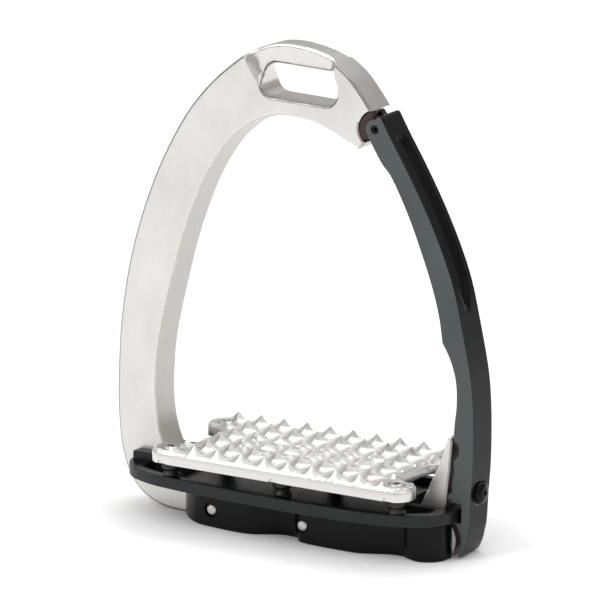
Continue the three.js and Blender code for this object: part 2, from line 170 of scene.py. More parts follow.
def plateCuts():
    # ball-nosed cuts between the thorns: pale and satin, with faint steps of the cutter along X
    finish, tree, surface = newFinish("plate_cut_aluminium")
    steps = grain(tree, (7, 0.8, 3), 0.8)
    tree.links.new(ramp(tree, steps, linear("c9c5c2"), linear("d9d6d3")), surface.inputs["Base Color"])
    tree.links.new(ramp(tree, steps, 0.3, 0.44), surface.inputs["Roughness"])
    surface.inputs["Metallic"].default_value = 1
    bump(tree, surface, steps, 0.03, 0.5)
    return finish


def satinBlackAnodised():
    # black anodised aluminium, blasted before the dye: an even grey-green sheen
    finish, tree, surface = newFinish("satin_black_anodised")
    pores = grain(tree, (1, 1, 1), 0.35)
    clouds = grain(tree, (1, 1, 2), 30)
    tree.links.new(ramp(tree, clouds, linear("4b5151"), linear("575c5c")), surface.inputs["Base Color"])
    tree.links.new(ramp(tree, pores, 0.42, 0.5), surface.inputs["Roughness"])
    surface.inputs["Metallic"].default_value = 0.75
    bump(tree, surface, pores, 0.01, 0.25)
    return finish


def glossBlackAnodised():
    # the same dye on milled walls that were not blasted: nearly black, with clear streaks of light
    finish, tree, surface = newFinish("gloss_black_anodised")
    lines = grain(tree, (1, 1, 12), 0.6)
    tree.links.new(ramp(tree, lines, linear("060707"), linear("0c0d0e")), surface.inputs["Base Color"])
    tree.links.new(ramp(tree, lines, 0.14, 0.22), surface.inputs["Roughness"])
    surface.inputs["Specular IOR Level"].default_value = 0.1
    bump(tree, surface, lines, 0.008, 0.25)
    return finish


def mouldedBlack():
    # glass-filled nylon from a polished mould: deep black, soft highlights, a trace of flow marks
    finish, tree, surface = newFinish("moulded_black")
    flow = grain(tree, (4, 4, 1), 2.2)
    skin = grain(tree, (1, 1, 1), 0.4)
    tree.links.new(ramp(tree, flow, linear("050607"), linear("0a0b0c")), surface.inputs["Base Color"])
    tree.links.new(ramp(tree, skin, 0.2, 0.26), surface.inputs["Roughness"])
    surface.inputs["Specular IOR Level"].default_value = 0.15
    bump(tree, surface, skin, 0.004, 0.1)
    return finish


def coatedBlack():
    # powder-coated tray: black with a fine even texture
    finish, tree, surface = newFinish("coated_black")
    skin = grain(tree, (1, 1, 1), 0.5, 4.0)
    tree.links.new(ramp(tree, skin, linear("131516"), linear("1a1d1e")), surface.inputs["Base Color"])
    tree.links.new(ramp(tree, skin, 0.36, 0.48), surface.inputs["Roughness"])
    surface.inputs["Specular IOR Level"].default_value = 0.3
    bump(tree, surface, skin, 0.02, 0.3)
    return finish


def brownElastomer():
    # cast polyurethane: dark brown, dull, slightly mottled
    finish, tree, surface = newFinish("brown_elastomer")
    mottle = grain(tree, (1, 1, 1), 0.8)
    tree.links.new(ramp(tree, mottle, linear("22120e"), linear("38201a")), surface.inputs["Base Color"])
    tree.links.new(ramp(tree, mottle, 0.55, 0.7), surface.inputs["Roughness"])
    bump(tree, surface, mottle, 0.03, 0.4)
    return finish


def blackRubber():
    # moulded rubber of the cushions: black, half gloss where it is squeezed
    finish, tree, surface = newFinish("black_rubber")
    skin = grain(tree, (1, 1, 1), 0.7)
    tree.links.new(ramp(tree, skin, linear("121313"), linear("242626")), surface.inputs["Base Color"])
    tree.links.new(ramp(tree, skin, 0.25, 0.5), surface.inputs["Roughness"])
    bump(tree, surface, skin, 0.03, 0.4)
    return finish


def groundSteel():
    # stainless pins and screws, ground on their ends: bright with fine lines
    finish, tree, surface = newFinish("ground_steel")
    lines = grain(tree, (0.6, 1, 4), 0.5)
    tree.links.new(ramp(tree, lines, linear("b9b6b3"), linear("d3d0cd")), surface.inputs["Base Color"])
    tree.links.new(ramp(tree, lines, 0.26, 0.4), surface.inputs["Roughness"])
    surface.inputs["Metallic"].default_value = 1
    bump(tree, surface, lines, 0.01, 0.3)
    return finish


def blackenedSteel():
    # oiled black oxide on the hinge pin and the adjusting screw
    finish, tree, surface = newFinish("blackened_steel")
    skin = grain(tree, (1, 1, 1), 0.6)
    tree.links.new(ramp(tree, skin, linear("1c1f20"), linear("2b2f30")), surface.inputs["Base Color"])
    tree.links.new(ramp(tree, skin, 0.25, 0.4), surface.inputs["Roughness"])
    surface.inputs["Metallic"].default_value = 0.6
    bump(tree, surface, skin, 0.01, 0.3)
    return finish


satin, milled, polished = satinAluminium(), milledAluminium(), polishedAluminium()
blackSatin, blackGloss = satinBlackAnodised(), glossBlackAnodised()
nylon, coat, brown, rubber = mouldedBlack(), coatedBlack(), brownElastomer(), blackRubber()
steel, darkSteel = groundSteel(), blackenedSteel()
paintedDarkRim, plateWall, ballCut = paintedDarkRimAluminium(), platePlain(), plateCuts()
print("finishes made")


def throughPoints(points, perSpan):
    # smooth line through the points
    out = []
    last = len(points) - 1
    for i in range(last):
        a, b, c, d = (points[max(i - 1, 0)], points[i], points[i + 1], points[min(i + 2, last)])
        for k in range(perSpan):
            t = k / perSpan
            out.append(tuple(
                b[j] + t * ((c[j] - a[j]) / 2 + t * (a[j] - 2.5 * b[j] + 2 * c[j] - d[j] / 2
                            + t * (1.5 * b[j] - a[j] / 2 - 1.5 * c[j] + d[j] / 2)))
                for j in (0, 1)))
    return out + [tuple(points[last])]


def bezier(a, b, c, d, steps):
    out = []
    for k in range(steps + 1):
        t = k / steps
        s = 1 - t
        out.append(tuple(s * s * s * a[j] + 3 * s * s * t * b[j] + 3 * s * t * t * c[j] + t * t * t * d[j]
                         for j in (0, 1)))
    return out


def arc(cx, cz, r, start, end, steps):
    return [(cx + r * cos(radians(start + (end - start) * k / steps)),
             cz + r * sin(radians(start + (end - start) * k / steps))) for k in range(steps + 1)]


def thinned(points, least=0.12):
    kept = []
    for p in points:
        if not kept or hypot(p[0] - kept[-1][0], p[1] - kept[-1][1]) > least:
            kept.append(p)
    if hypot(kept[0][0] - kept[-1][0], kept[0][1] - kept[-1][1]) <= least:
        kept.pop()
    return kept


def smoothed(t):
    t = min(max(t, 0), 1)
    return t * t * (3 - 2 * t)


def slab(loops, low, high, edge, steps=3, axis="Y", both=True):
    # a flat outline, with holes, drawn thick between two planes, with rounded rims
    bm = bmesh.new()
    rim = []
    for loop in loops:
        ring = [bm.verts.new((x * mm, low * mm, z * mm) if axis == "Y" else (x * mm, z * mm, low * mm))
                for x, z in thinned(loop)]
        rim += [bm.edges.new((ring[i - 1], ring[i])) for i in range(len(ring))]
    side = Vector((0, 1, 0)) if axis == "Y" else Vector((0, 0, 1))
    bmesh.ops.triangle_fill(bm, use_beauty=True, use_dissolve=False, edges=rim, normal=-side)
    under = bm.faces[:]
    made = bmesh.ops.extrude_face_region(bm, geom=under, use_keep_orig=True)
    top = [g for g in made["geom"] if isinstance(g, bmesh.types.BMFace)]
    bmesh.ops.translate(bm, verts=list({v for f in top for v in f.verts}), vec=side * (high - low) * mm)
    bmesh.ops.recalc_face_normals(bm, faces=bm.faces)
    for k, caps in enumerate([under, top] if both else [top]):
        if edge:
            out = side * (1 if caps is top else -1)
            bmesh.ops.translate(bm, verts=list({v for f in caps for v in f.verts}), vec=-out * edge * mm)
            for s in range(steps):
                a, b = pi / 2 * s / steps, pi / 2 * (s + 1) / steps
                bmesh.ops.inset_region(bm, faces=caps, use_boundary=True, use_even_offset=False,
                                       thickness=edge * mm * (cos(a) - cos(b)),
                                       depth=edge * mm * (sin(b) - sin(a)))
    return bm


def finishPiece(name, bm, finishes, body, stands, smooth=38):
    mesh = bpy.data.meshes.new(name)
    bm.to_mesh(mesh)
    bm.free()
    piece = bpy.data.objects.new(name, mesh)
    bpy.context.scene.collection.objects.link(piece)
    for finish in finishes:
        mesh.materials.append(finish)
    mesh.shade_smooth()
    mesh.set_sharp_from_angle(angle=radians(smooth))
    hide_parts(*stands)
    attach(piece, body)
    return piece


def evenShading(piece):
    # normals follow the large faces, so flat faces stay flat beside rounded rims
    change = piece.modifiers.new("even_shading", "WEIGHTED_NORMAL")
    change.keep_sharp = True
    change.weight = 80


def block(x0, x1, y0, y1, z0, z1):
    bm = bmesh.new()
    bmesh.ops.create_cube(bm, size=1)
    bmesh.ops.scale(bm, verts=bm.verts, vec=Vector((x1 - x0, y1 - y0, z1 - z0)) * mm)
    bmesh.ops.translate(bm, verts=bm.verts, vec=Vector((x0 + x1, y0 + y1, z0 + z1)) * mm / 2)
    return bm


def nearness(loops, step=0.15):
    points = []
    for loop, closed in loops:
        ends = list(zip(loop, loop[1:])) + ([(loop[-1], loop[0])] if closed else [])
        for (x0, z0), (x1, z1) in ends:
            n = max(int(hypot(x1 - x0, z1 - z0) / step), 1)
            points += [(x0 + (x1 - x0) * k / n, z0 + (z1 - z0) * k / n, 0) for k in range(n)]
    tree = KDTree(len(points))
    for k, p in enumerate(points):
        tree.insert(p, k)
    tree.balance()
    return lambda x, z: tree.find((x, z, 0))[2]


def cut(piece, cutter):
    # takes the cutter's shape out of the piece, and removes the cutter
    change = piece.modifiers.new("cut", "BOOLEAN")
    change.operation, change.object, change.solver = "DIFFERENCE", cutter, "EXACT"
    bpy.context.view_layer.update()
    done = bpy.data.meshes.new_from_object(piece.evaluated_get(bpy.context.evaluated_depsgraph_get()))
    piece.modifiers.clear()
    piece.data = done
    bpy.data.objects.remove(cutter)


def loose(name, bm):
    mesh = bpy.data.meshes.new(name)
    bm.to_mesh(mesh)
    bm.free()
    piece = bpy.data.objects.new(name, mesh)
    bpy.context.scene.collection.objects.link(piece)
    return piece


def spun(profile, steps, axis, centre):
    # profile of (radius, distance along the axis) turned round the axis
    bm = bmesh.new()
    frameOf = {"X": Matrix(((0, 0, 1), (1, 0, 0), (0, 1, 0))), "Y": Matrix(((1, 0, 0), (0, 0, 1), (0, 1, 0))),
               "Z": Matrix(((1, 0, 0), (0, 1, 0), (0, 0, 1)))}[axis]
    along = frameOf @ Vector((0, 0, 1))
    points = [bm.verts.new(Vector(centre) * mm + frameOf @ Vector((r * mm, 0, h * mm))) for r, h in profile]
    line = [bm.edges.new((points[i], points[i + 1])) for i in range(len(points) - 1)]
    bmesh.ops.spin(bm, geom=points + line, cent=Vector(centre) * mm, axis=along, angle=2 * pi,
                   steps=steps, use_merge=True)
    bmesh.ops.remove_doubles(bm, verts=bm.verts, dist=1e-7)
    bmesh.ops.recalc_face_normals(bm, faces=bm.faces)
    return bm


def bore(radius, start, end, steps, axis, centre):
    # straight round cutter
    return spun([(0, start), (radius, start), (radius, end), (0, end)], steps, axis, centre)


ironFrame = {
    "half": 6.7,            # half the thickness
    "rim": 0.8,             # rounding of the rims
    "slot": (-0.6, 159.2, 30.4, 11.4, 4.6, -2.5),
    "hinge": (29.5, 147.1),
    "seat": 6.3,            # round seat at the hinge
    "scoop": 2.2,           # relief of the leather bar on each face
    "pinsAt": (-29.5, 7.4),
    "barTop": (0.88, 1.2),  # share of the bar's top that stays flat, and reach of its rounding
    "barFoot": (0.5, 3),    # the same above the slot
    "cell": 0.55,           # grid of the sculpted crown
}
hx, hz = ironFrame["hinge"]


def slotLoop(long, high, cx, cz, r, lean, steps):
    out = []
    for sx, sz, start in ((1, 1, 0), (-1, 1, 90), (-1, -1, 180), (1, -1, 270)):
        out += arc(sx * (long / 2 - r), sz * (high / 2 - r), r, start, start + 90, steps)
    c, s = cos(radians(lean)), sin(radians(lean))
    return [(cx + x * c - z * s, cz + x * s + z * c) for x, z in out]


outerArch = [(hx - 1.3, hz + 6.2), (hx - 5.5, hz + 11.7), (20, 163.4), (14.5, 167.6), (8.5, 170.7),
             (-3, 172.8), (-13, 171.9), (-23, 167.2), (-36.9, 155.5), (-48.4, 140.8), (-59.6, 119.4),
             (-68.6, 93.6), (-73.7, 66.5), (-75.2, 41)]
innerArch = [(-59.5, 43), (-57.8, 61.5), (-50.9, 89.7), (-45.4, 106.6), (-38.9, 121.6), (-31.1, 133.8),
             (-23.7, 141.1), (-16.3, 145.6), (-7.8, 148), (0.2, 147.9), (8.1, 146.3), (hx - 13.5, hz - 4.1),
             (hx - 6.2, hz - 7.4)]
postEdge = [(48.6, 18.7), (52.4, 26.8), (54.8, 32.1), (57, 38.2), (58, 41)]
crownLine = throughPoints(outerArch, 10)


def crownShare(x, z):
    # how far the leather bar's relief has come in at this place: 0 on the flat face, 1 on its floor
    left = -15.6 - 6.6 * smoothed((z - 155) / 14)
    right = 14.6 - 1.2 * smoothed((z - 158) / 8)
    share = 1
    for away, reach in ((x - left, 5.2), (right - x, 3)):
        t = min(max(away / reach, 0), 1)
        share *= (1 - (1 - t) ** 2) ** 0.75
    return share * smoothed((z - 155.5) / 6)


def makeFrame(size):
    half = size["half"]
    cx, cz, long, high, r, lean = size["slot"]
    outline = (throughPoints(outerArch, 10)
               + bezier((-75.2, 41), (-75.2, 14), (-71, 0), (-48, 0), 40) + [(59, 0)]
               + arc(53.6, 6.1, 8.4, -44, 59, 24) + [(58.2, 20.5), (59.6, 31)]
               + arc(59.4, 41.9, 1.1, 0, 150, 8) + throughPoints(postEdge, 5)[::-1]
               + bezier((48.6, 18.7), (47, 15), (44, 11), (38, 11), 12)
               + bezier((-38, 11), (-54, 11), (-59.5, 26), (-59.5, 43), 30) + throughPoints(innerArch, 8)
               + arc(hx, hz, size["seat"], 232, 102, 36))
    hole = slotLoop(long, high, cx, cz, r, lean, 12)
    bm = slab([outline, hole], -half, half, size["rim"])
    # a fine grid over the crown, then the relief and the rounding of the bar
    for k in range(82):
        x = -28 + k * size["cell"]
        part = [f for f in bm.faces if f.calc_center_median().z > 150.5 * mm]
        bmesh.ops.bisect_plane(bm, geom=part + list({e for f in part for e in f.edges})
                               + list({v for f in part for v in f.verts}),
                               dist=2e-6, plane_co=(x * mm, 0, 0), plane_no=(1, 0, 0))
    for k in range(40):
        z = 151 + k * size["cell"]
        part = [f for f in bm.faces if f.calc_center_median().z > 150 * mm
                and -29 * mm < f.calc_center_median().x < 20 * mm]
        bmesh.ops.bisect_plane(bm, geom=part + list({e for f in part for e in f.edges})
                               + list({v for f in part for v in f.verts}),
                               dist=2e-6, plane_co=(0, 0, z * mm), plane_no=(0, 0, 1))
    topAway, slotAway = nearness([(crownLine, False)]), nearness([(hole, True)])
    for v in bm.verts:
        x, y, z = v.co / mm
        if z > 152 and -27 < x < 17:
            bar = half - size["scoop"]
            for away, (flat, reach) in ((topAway, size["barTop"]), (slotAway, size["barFoot"])):
                near = min(away(x, z) / reach, 1)
                bar *= flat + (1 - flat) * sqrt(1 - (1 - near) ** 2)
            v.co.y *= 1 - crownShare(x, z) * (1 - bar / half)
    # tongue of the hinge
    tongue = arc(hx, hz, 2.9, -129, 186, 40) + [(hx - 8.5, hz - 0.9), (hx - 8.5, hz - 4.6),
                                                (hx - 6.2, hz - 6.2)]
    extra = slab([tongue], -3.2, 3.2, 0.25)
    mesh = bpy.data.meshes.new("tongue")
    extra.to_mesh(mesh)
    extra.free()
    bm.from_mesh(mesh)
    for f in bm.faces:
        centre = f.calc_center_median() / mm
        across = abs(f.normal.y)
        if centre.z > 152 and -26 < centre.x < 16 and crownShare(centre.x, centre.z) > 0.02:
            f.material_index = 2
        elif across < 0.2:
            f.material_index = 1
        elif across < 0.97:
            # outward edge breaks take the darker metal, a painted dark reflection; inward ones take the
            # polished finish
            f.material_index = 3 if Vector((centre.x, 0, centre.z - 80)).dot(f.normal) > 0 else 2
    finishes = [satin, milled, polished, paintedDarkRim]
    body = finishPiece("iron_frame", bm, finishes, "iron", ["frame"], 52)
    for x in size["pinsAt"]:
        cut(body, loose("boreCutter", bore(1.97, -9, 9, 32, "Y", (x, 0, 6.3))))
    cut(body, loose("eyeCutter", bore(1.63, -5, 5, 32, "Y", (hx, 0, hz))))
    cut(body, loose("dimpleCutter", spun([(0, 57.45), (0.9, 57.45), (2.6, 59.35), (0, 59.35)], 32, "X",
                                         (0, 0, 23))))
    body.data.shade_smooth()
    body.data.set_sharp_from_angle(angle=radians(52))
    evenShading(body)
    return body


makeFrame(ironFrame)
print("frame made")

armSize = {
    "half": 6.7,
    "outerChamfer": 1.15,
    "innerChamfer": 0.35,
    "fluteHalf": 4.1,
    "fluteDeep": 1.6,
    "knuckle": 3.6,
    "knobHigh": 23,
}
outerArm = [(63.9, 0.8), (65.2, 3.6), (66.3, 7.8), (67, 12), (67.6, 22), (68.3, 32), (68.5, 44), (68.1, 56),
            (66.9, 66.5), (63.7, 81.8), (60.4, 95.4), (56, 107.2), (49.8, 120.3), (43, 132.6),
            (hx + 6.8, hz - 3.5), (hx + 4.7, hz + 0.1), (hx + 2.8, hz + 3.5)]
armTop = [(hx + 2.6, hz + 3.9), (hx + 2.2, hz + 4.3), (hx + 1.7, hz + 4.55), (hx + 1, hz + 4.5)]
innerArm = [(hx - 2.1, hz - 3.5), (hx + 2.6, hz - 11.1), (36.3, 131), (42.3, 119.7), (47.1, 108.5),
            (51.9, 95.7), (54.8, 85.4), (56.3, 76)]
kneeArm = [(56.3, 76), (59.4, 70.4), (61.6, 63.2), (62, 55.1), (61.3, 48.2), (61, 44.3)]


def makeArm(size):
    half = size["half"]
    outside = throughPoints(outerArm, 12) + throughPoints(armTop, 4)
    inside = (arc(hx, hz, size["knuckle"], 84, 222, 18) + throughPoints(innerArm, 6)
              + throughPoints(kneeArm, 5)[1:] + arc(59, 38.7, 4.15, 61, -61, 16)
              + [(61.3, 31.5), (60.7, 27), (60.3, 20), (64.2, 20), (64.2, 13)]
              + arc(53.6, 6.1, 10.6, 40, -30, 20))
    outline = thinned(outside + inside)
    bm = bmesh.new()
    ring = [bm.verts.new((x * mm, -half * mm, z * mm)) for x, z in outline]
    face = bm.faces.new(ring)
    made = bmesh.ops.extrude_face_region(bm, geom=[face], use_keep_orig=True)
    bmesh.ops.translate(bm, verts=[g for g in made["geom"] if isinstance(g, bmesh.types.BMVert)],
                        vec=(0, 2 * half * mm, 0))
    bmesh.ops.recalc_face_normals(bm, faces=bm.faces)
    outerSet = {(round(x, 3), round(z, 3)) for x, z in outside}

    def isOuter(e):
        return all((round(v.co.x / mm, 3), round(v.co.z / mm, 3)) in outerSet for v in e.verts)

    def isRim(e):
        return abs(abs(e.verts[0].co.y) - half * mm) < 1e-7 and abs(e.verts[0].co.y - e.verts[1].co.y) < 1e-7

    bmesh.ops.bevel(bm, geom=[e for e in bm.edges if isRim(e) and isOuter(e)], affect="EDGES",
                    offset=size["outerChamfer"] * mm, offset_type="OFFSET", segments=2, profile=0.5,
                    material=-1, clamp_overlap=True)
    rest = [e for e in bm.edges if isRim(e) and len(e.link_faces) == 2
            and abs(abs(e.link_faces[0].normal.y) - abs(e.link_faces[1].normal.y)) > 0.8]
    bmesh.ops.bevel(bm, geom=rest, affect="EDGES", offset=size["innerChamfer"] * mm, offset_type="OFFSET",
                    segments=1, profile=0.5, material=-1, clamp_overlap=True)
    # lines across the outer wall, then the flute sinks between them
    bands = [side * y for y in (0.6, 1.4, 2.2, 2.9, 3.4, 3.75, 3.98, 4.1, 4.22, 4.6, 5.2) for side in (-1, 1)]
    for y in bands:
        bmesh.ops.bisect_plane(bm, geom=bm.faces[:] + bm.edges[:] + bm.verts[:], dist=2e-6,
                               plane_co=(0, y * mm, 0), plane_no=(0, 1, 0))
    line = throughPoints(outerArm, 40)
    for v in bm.verts:
        x, y, z = v.co / mm
        if abs(y) < size["fluteHalf"] and 80 < z < 148.5:
            k = min(range(len(line)), key=lambda i: hypot(line[i][0] - x, line[i][1] - z))
            if hypot(line[k][0] - x, line[k][1] - z) > 0.4:
                continue
            a, b = line[max(k - 1, 0)], line[min(k + 1, len(line) - 1)]
            out = Vector((b[1] - a[1], 0, -(b[0] - a[0]))).normalized()
            if out.x < 0:
                out = -out
            # full width from the round start down to where the groove runs out in a point
            lowEnd = smoothed((z - 84) / 14)
            highEnd = sqrt(max(1 - max((z - 140.5) / 4.1, 0) ** 2, 0)) if z > 140.5 else 1
            wide = size["fluteHalf"] * min(lowEnd, 1) * highEnd
            if wide < 0.05 or abs(y) >= wide:
                continue
            t = abs(y) / wide
            deep = size["fluteDeep"] * (1 - t ** 2.4) ** 0.8 * smoothed((z - 84) / 9) * highEnd ** 0.5
            v.co -= out * deep * mm
    for f in bm.faces:
        across = abs(f.normal.y)
        f.material_index = 0 if across > 0.97 else 1
    arm = finishPiece("safety_arm_body", bm, [blackSatin, blackGloss], "arm",
                      ["safety_arm"], 30)
    cut(arm, loose("forkCutter", slab([arc(hx, hz, 3.2, 0, 352.5, 47)], -3.5, 3.5, 0)))
    cut(arm, loose("mouthCutter", slab([[(hx, hz)] + arc(hx, hz, 7.5, 84, 236, 12)], -3.5, 3.5, 0)))
    cut(arm, loose("seatCutter", bore(4.6, 67.4, 90, 48, "X", (0, 0, size["knobHigh"]))))
    cut(arm, loose("pinCutter", bore(1.57, -9, 9, 32, "Y", (hx, 0, hz))))
    arm.data.shade_smooth()
    arm.data.set_sharp_from_angle(angle=radians(34))
    evenShading(arm)
    return arm


makeArm(armSize)
print("arm made")

hingeSet = {
    "pin": (1.55, 6.2),      # radius, half length
    "key": (0.95, 2.2),      # hexagon across corners / 2, depth
    "ring": (3.69, 6.05, 100, 223),
    "ringSpan": (3.5, 6.6),  # from and to, across the iron
    "knob": (67.44, 4, 2.5), # seat, radius, height of the plunger's adjusting screw
}


def keyed(piece, radius, start, end, axis, centre):
    # hexagon socket
    cut(piece, loose("keyCutter", bore(radius, start, end, 6, axis, centre)))
    piece.data.shade_smooth()
    piece.data.set_sharp_from_angle(angle=radians(35))


def makeHingeParts(size):
    r, reach = size["pin"]
    profile = [(0, -reach), (r - 0.3, -reach), (r, 0.3 - reach), (r, reach - 0.3), (r - 0.3, reach),
               (0, reach)]
    bm = spun(profile, 40, "Y", (hx, 0, hz))
    pin = finishPiece("hinge_bolt", bm, [darkSteel], "arm", ["hinge_pin"])
    keyed(pin, size["key"][0], -9, size["key"][1] - reach, "Y", (hx, 0, hz))
    inner, outer, start, end = size["ring"]
    band = arc(hx, hz, outer, start, end, 40) + arc(hx, hz, inner, end, start, 40)
    low, high = size["ringSpan"]
    finishPiece("elastomer_front", slab([band], -high, -low, 0.35), [brown], "arm",
                ["hinge_ring_front"])
    band = arc(hx, hz, outer, 128, end, 36) + arc(hx, hz, inner, end, 128, 36)
    finishPiece("elastomer_rear", slab([band], low, high, 0.35), [brown], "arm",
                ["hinge_ring_rear"])
    seat, r, high = size["knob"]
    dome = [(0, seat - 1.34), (2.58, seat - 1.34), (2.58, seat), (r, seat), (r, seat + 0.5)]
    for a in (15, 30, 45, 60, 75):
        dome.append((r * cos(radians(a)) ** 0.6, seat + 0.5 + (high - 0.54) * sin(radians(a))))
    dome += [(0, seat + high - 0.04)]
    knob = finishPiece("adjusting_screw", spun(dome, 48, "X", (0, 0, 23)), [blackGloss], "arm",
                       ["latch_adjuster"])
    keyed(knob, 1, seat + 1.2, seat + 5, "X", (0, 0, 23))


makeHingeParts(hingeSet)
print("hinge parts made")

housingSize = {
    "high": 13.1,
    "rim": 0.7,
    "channel": 6.74,         # half width of the bar's channel
    "roof": 11.1,
    "pinsAt": (-29.5, 7.4),
    "pinHigh": 6.3,
    "pinEnd": 18,
    "counterbore": 2.75,
}
housingFront = [(-46.6, -7.2), (-45.2, -9.2), (-41, -13.8), (-35.7, -17), (-27, -18.4), (-18.9, -19),
                (-12.9, -18.3), (-8, -15.8), (-3.8, -13.7), (1, -13.4), (3.6, -14.6), (6.2, -17.4),
                (11, -18.4), (20, -18.8), (29, -18.6), (34.4, -16.8), (40, -14.3), (44.6, -13.8),
                (48.6, -15.6), (52.4, -16.6), (56.8, -15), (59.6, -11.8), (60.6, -7.2)]


def makeHousing(size):
    front = throughPoints(housingFront, 7)
    bm = slab([front + [(x, -y) for x, y in reversed(front)]], 0, size["high"], size["rim"], 3, "Z")
    housing = finishPiece("housing_body", bm, [nylon], "iron", ["housing"])
    c = size["channel"]
    cut(housing, loose("channelCutter", block(-100, 100, -c, c, -5, size["roof"])))
    cut(housing, loose("channelLeft", block(-100, -36, -c, c, -5, 30)))
    cut(housing, loose("channelRight", block(36, 100, -c, c, -5, 30)))
    e = size["pinEnd"]
    for x in size["pinsAt"]:
        at = (x, 0, size["pinHigh"])
        cut(housing, loose("boreCutter", bore(1.97, -30, 30, 32, "Y", at)))
        for side in (-1, 1):
            ends = sorted((side * 30, side * (e - 1)))
            cut(housing, loose("seatCutter", bore(size["counterbore"], *ends, 40, "Y", at)))
    housing.data.shade_smooth()
    housing.data.set_sharp_from_angle(angle=radians(38))
    evenShading(housing)
    for k, x in enumerate(size["pinsAt"]):
        profile = [(0, -e), (1.1, -e), (1.55, 0.12 - e), (1.95, 0.55 - e), (1.95, e - 0.55), (1.55, e - 0.12),
                   (1.1, e), (0, e)]
        finishPiece(f"cross_pin_{k + 1}", spun(profile, 40, "Y", (x, 0, size["pinHigh"])), [steel], "iron",
                    [f"housing_pin_{k + 1}"])


makeHousing(housingSize)
print("housing made")

traySize = {
    "low": 13.2,
    "rim": 17.6,
    "floor": 15.2,
    "edge": 0.5,
    "notch": 7.0,            # half width of the slots for the branch and the post
    "pads": (-66.5, -55.5, 10.4, 20.8),
}
trayFront = [(-68, -7.3), (-67.6, -10.4), (-65.2, -15), (-60.6, -18.8), (-52.9, -21.9), (-45, -23.4),
             (-30, -25), (-12, -26), (9, -26.4), (26, -26), (38, -24.9), (47, -22.9), (53.6, -20.2),
             (58.6, -16.2), (61.6, -10.8), (62.5, -4)]


def makeTray(size):
    front = throughPoints(trayFront, 6)
    outline = front + [(x, -y) for x, y in reversed(front)]
    bm = slab([outline], size["low"], size["rim"], size["edge"], 2, "Z")
    tray = finishPiece("tray_body", bm, [coat], "iron", ["tray"])
    inner = [(x * 0.95, y * 0.89) for x, y in outline]
    for x0, x1, y0, y1 in ((-45.5, 40.5, -40, 40), (-59, 56, -40, -9.5), (-59, 56, 9.5, 40)):
        bm = slab([inner], size["floor"], 40, 0, 2, "Z")
        for co, out in (((x0, 0), (-1, 0)), ((x1, 0), (1, 0)), ((0, y0), (0, -1)), ((0, y1), (0, 1))):
            gone = bmesh.ops.bisect_plane(bm, geom=bm.faces[:] + bm.edges[:] + bm.verts[:], dist=1e-7,
                                          plane_co=Vector((*co, 0)) * mm, plane_no=(*out, 0),
                                          clear_outer=True)
            rim = [g for g in gone["geom_cut"] if isinstance(g, bmesh.types.BMEdge)]
            if rim:
                bmesh.ops.holes_fill(bm, edges=rim, sides=0)
        bmesh.ops.recalc_face_normals(bm, faces=bm.faces)
        cut(tray, loose("recessCutter", bm))
    n = size["notch"]
    cut(tray, loose("notchLeft", block(-100, -47, -n, n, 0, 60)))
    cut(tray, loose("notchRight", block(42, 58.9, -n, n, 0, 60)))
    tray.data.shade_smooth()
    tray.data.set_sharp_from_angle(angle=radians(35))
    evenShading(tray)
    # the recess inside the tray and every upward face take the deeper moulded black as painted shade
    tray.data.materials.append(nylon)
    for face in tray.data.polygons:
        inside = face.center.z < (size["rim"] - 0.1) * mm and abs(face.normal.z) > 0.9
        face.material_index = 1 if inside or face.normal.z > 0.98 else 0
    # raised ends beside the left branch
    x0, x1, wide, top = size["pads"]
    edge = [(x, y) for x, y in front if x0 < x < x1 and -wide < y < 0]
    for side, word in ((-1, "front"), (1, "rear")):
        corner = [(x0, -7.05), (x1, -7.05), (x1, -wide)] + [(x, y) for x, y in reversed(edge)] + [(x0, -wide)]
        loop = [(x, -side * y) for x, y in corner]
        pad = slab([loop], size["rim"] - 0.02, top, 0.5, 2, "Z", False)
        finishPiece(f"tray_end_{word}", pad, [coat], "iron", ["tray"])


makeTray(traySize)
print("tray made")

plateSize = {
    "low": 22.6,
    "edge": 26.3,            # top of the upright front wall
    "rise": 1.9,             # slope of the chamfer above it
    "floor": 27.2,           # bottom of the round cuts between the thorns
    "disc": 3.6,             # radius of the flat that each leaves
    "top": 31,
    "pitch": (9.5, 9.13),
    "half": 25.3,
    "lobe": (45.4, 18.6, 6.7),
    "land": 27.5,            # flat round each screw
    "pocket": 27.3,
    "steps": 12,             # grid lines to a pitch
}


def plateOutline(size):
    lx, ly, r = size["lobe"]
    lobe = arc(lx, -ly, r, -90, 48, 24)
    # the notch at each end is one smooth curve
    notch = throughPoints([lobe[-1], (lx - 2.2, 6.2 - ly), (lx - 3.6, 9.6 - ly), (lx - 4.2, 13.6 - ly),
                           (lx - 4.4, 0), (lx - 4.2, ly - 13.6), (lx - 3.6, ly - 9.6), (lx - 2.2, ly - 6.2),
                           (lobe[-1][0], -lobe[-1][1])], 6)
    right = lobe[:-1] + notch + [(x, -y) for x, y in reversed(lobe[:-1])]
    return right + [(-x, -y) for x, y in right]


def plateHeight(x, y, away, size):
    # chamfered slab, less a round cut with a flat bottom between every four thorns
    px, py = size["pitch"]
    lx, ly, r = size["lobe"]
    z = min(size["top"], size["edge"] + away * size["rise"])
    bx, by = round(x / px) * px, round(y / py) * py
    reach = hypot(x - bx, y - by)
    climb = max(reach - size["disc"], 0) / (hypot(px, py) / 2 - size["disc"])
    z = min(z, size["floor"] + (size["top"] - size["floor"]) * climb ** 1.9)
    # in the middle the cuts in front of the thorns are flat pockets with a steep back
    if abs(x) < 23.75 and -13.7 < y < 4.57:
        row = (round(y / py - 0.5) + 0.5) * py
        if y > row:
            row += py
        if row - y < 4.4:
            z = min(z, size["pocket"] + max(y - (row - 0.8), 0) * 4.6)
    if hypot(abs(x) - lx, abs(y) - ly) < (5.6 if y < 0 else 4):
        z = min(z, size["land"])
    return z


